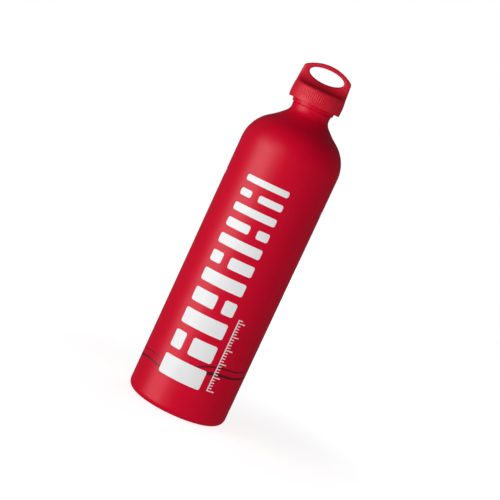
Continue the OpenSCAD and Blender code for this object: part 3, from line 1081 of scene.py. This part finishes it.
# Studio


class FUELBOTTLE_OT_studio(bpy.types.Operator):
    """Set up the floor, the lamps, the surround and the camera"""

    bl_idname = "fuel_bottle.studio"
    bl_label = "Studio"

    def execute(self, context):
        studio = context.scene.fuel_bottle_studio
        self.floor()
        self.surround(context.scene, studio)
        self.lamp("key_softbox", studio.key_light, -50, 0.9, 1.21, (-0.8, 0.72))
        self.lamp("key_core", studio.core_light, -54, 0.85, 0.6, (-0.8, 0.43))
        self.lamp("fill_softbox", studio.fill_light, 22, 1.1, 1.5, (-0.9, 0.6), mirrored=False)
        self.lamp("back_softbox", studio.back_light, 150, 1.2, 1.2, (-0.8, 1.4), mirrored=False)
        self.camera(context.scene, studio)
        context.scene.view_settings.view_transform = "Standard"
        return {"FINISHED"}

    def floor(self):
        """A round pale floor that shows as white and keeps the soft shadow under the bottle."""
        n = Nodes("studio_floor")
        speck = n.noise(n.place(), 0.02, 3.0)
        tone = n.tint(speck, (0.69, 0.69, 0.69), (0.71, 0.71, 0.71))
        paper = n.node("ShaderNodeBsdfDiffuse", {"Color": tone}).outputs[0]
        where = n.node("ShaderNodeTexCoord").outputs["Object"]
        away = n.node("ShaderNodeVectorMath", {0: where}, operation="LENGTH").outputs["Value"]
        far = n.step(away, 0.1, 0.35)
        seen = n.node("ShaderNodeLightPath").outputs["Is Camera Ray"]
        strength = n.math("MULTIPLY", seen, n.spread(far, 0.8, 1.0))
        glow = n.node("ShaderNodeEmission", {"Strength": strength}).outputs[0]
        material = n.finish(n.node("ShaderNodeAddShader", {0: paper, 1: glow}).outputs[0])
        points = [(1.4 * math.cos(TAU * k / 96), 1.4 * math.sin(TAU * k / 96), 0) for k in range(96)]
        floor = mesh_piece("studio_floor", points, [tuple(range(96))], [material])
        floor.visible_glossy = False
        floor.visible_shadow = False

    def surround(self, scene, studio):
        """White where the camera sees it, and a dim grey room for everything else."""
        world = bpy.data.worlds.new("studio_surround")
        scene.world = world
        world.use_nodes = True
        tree = world.node_tree
        tree.nodes.clear()

        def add(kind, inputs=(), **settings):
            made = tree.nodes.new(kind)
            for key, value in settings.items():
                setattr(made, key, value)
            for key, value in dict(inputs).items():
                if isinstance(value, bpy.types.NodeSocket):
                    tree.links.new(value, made.inputs[key])
                else:
                    made.inputs[key].default_value = value
            return made

        way = add("ShaderNodeSeparateXYZ", {0: add("ShaderNodeTexCoord").outputs["Generated"]})
        path = add("ShaderNodeLightPath")
        white = add(
            "ShaderNodeMath", {0: path.outputs["Is Camera Ray"], 1: path.outputs["Is Transmission Ray"]},
            operation="MAXIMUM",
        ).outputs[0]
        up = add(
            "ShaderNodeMapRange",
            {"Value": way.outputs["Z"], "From Min": 0.0, "From Max": 0.6, "To Min": 1.0, "To Max": 0.05},
        ).outputs[0]
        room = add("ShaderNodeMath", {0: up, 1: studio.surround}, operation="MULTIPLY").outputs[0]
        level = add("ShaderNodeMix", {0: path.outputs["Is Glossy Ray"], 2: room, 3: studio.mirrored}).outputs[0]
        dim = add("ShaderNodeBackground", {"Color": (1, 1, 1, 1), "Strength": level}).outputs[0]
        bright = add("ShaderNodeBackground", {"Color": (1, 1, 1, 1), "Strength": 1.0}).outputs[0]
        mix = add("ShaderNodeMixShader", {0: white, 1: dim, 2: bright}).outputs[0]
        add("ShaderNodeOutputWorld", {"Surface": mix})

    def lamp(self, name, radiance, azimuth, distance, width, heights, mirrored=True):
        """An upright soft box of a radiance. Azimuth 0 is the camera's side, and positive is to the right.

        One that isn't mirrored gives its light, but doesn't show as a highlight.
        """
        low, high = heights
        light = bpy.data.lights.new(name, "AREA")
        light.shape = "RECTANGLE"
        light.size, light.size_y = width, high - low
        light.energy = radiance * math.pi * width * (high - low)
        a = math.radians(azimuth)
        away = Vector((math.sin(a), -math.cos(a), 0))
        box = bpy.data.objects.new(name, light)
        box.location = away * distance + Vector((0, 0, (low + high) / 2))
        box.rotation_euler = away.to_track_quat("Z", "Y").to_euler()
        box.visible_glossy = mirrored
        light.cycles.use_multiple_importance_sampling = mirrored
        bpy.context.scene.collection.objects.link(box)

    def camera(self, scene, studio):
        """The camera of the picture: slightly above, looking down a little, and rolled."""
        data = bpy.data.cameras.new("picture_camera")
        data.sensor_width = 36
        data.lens = studio.focal_length
        camera = bpy.data.objects.new("picture_camera", data)
        place = Matrix.Translation((studio.camera_side, -studio.camera_distance, studio.camera_height))
        look = Matrix.Rotation(math.pi / 2 - studio.camera_down, 4, "X")
        roll = Matrix.Rotation(studio.camera_roll, 4, "Z")
        camera.matrix_world = place @ look @ roll
        scene.collection.objects.link(camera)
        scene.camera = camera


# Panel and registration


class VIEW3D_PT_fuel_bottle(bpy.types.Panel):
    """The sidebar panel with every step and its settings"""

    bl_label = "Fuel Bottle"
    bl_idname = "VIEW3D_PT_fuel_bottle"
    bl_space_type = "VIEW_3D"
    bl_region_type = "UI"
    bl_category = "Fuel Bottle"

    def draw(self, context):
        for group, operators in STEPS:
            box = self.layout.box()
            for operator in operators:
                box.operator(operator.bl_idname)
            settings = getattr(context.scene, group)
            for key in SETTINGS[group].__annotations__:
                box.prop(settings, key)


STEPS = (
    ("fuel_bottle_body", (FUELBOTTLE_OT_body,)),
    ("fuel_bottle_print", (FUELBOTTLE_OT_prints,)),
    ("fuel_bottle_cap", (FUELBOTTLE_OT_cap_shell,)),
    ("fuel_bottle_thread", (FUELBOTTLE_OT_plug,)),
    ("fuel_bottle_small", (FUELBOTTLE_OT_small_parts,)),
    ("fuel_bottle_finish", ()),
    ("fuel_bottle_studio", (FUELBOTTLE_OT_studio,)),
)

CLASSES = (
    *SETTINGS.values(),
    FUELBOTTLE_OT_body,
    FUELBOTTLE_OT_prints,
    FUELBOTTLE_OT_cap_shell,
    FUELBOTTLE_OT_plug,
    FUELBOTTLE_OT_small_parts,
    FUELBOTTLE_OT_studio,
    VIEW3D_PT_fuel_bottle,
)


def register():
    """Adds the classes and their settings."""
    for item in CLASSES:
        bpy.utils.register_class(item)
    for name, group in SETTINGS.items():
        setattr(bpy.types.Scene, name, PointerProperty(type=group))


def unregister():
    """Takes the settings and classes away again."""
    for name in SETTINGS:
        delattr(bpy.types.Scene, name)
    for item in reversed(CLASSES):
        bpy.utils.unregister_class(item)


def main():
    """Builds the whole picture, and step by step."""
    register()
    bpy.ops.fuel_bottle.body()
    bpy.ops.fuel_bottle.prints()
    bpy.ops.fuel_bottle.cap_shell()
    bpy.ops.fuel_bottle.plug()
    bpy.ops.fuel_bottle.small_parts()
    bpy.ops.fuel_bottle.studio()


if __name__ == "__main__":
    main()
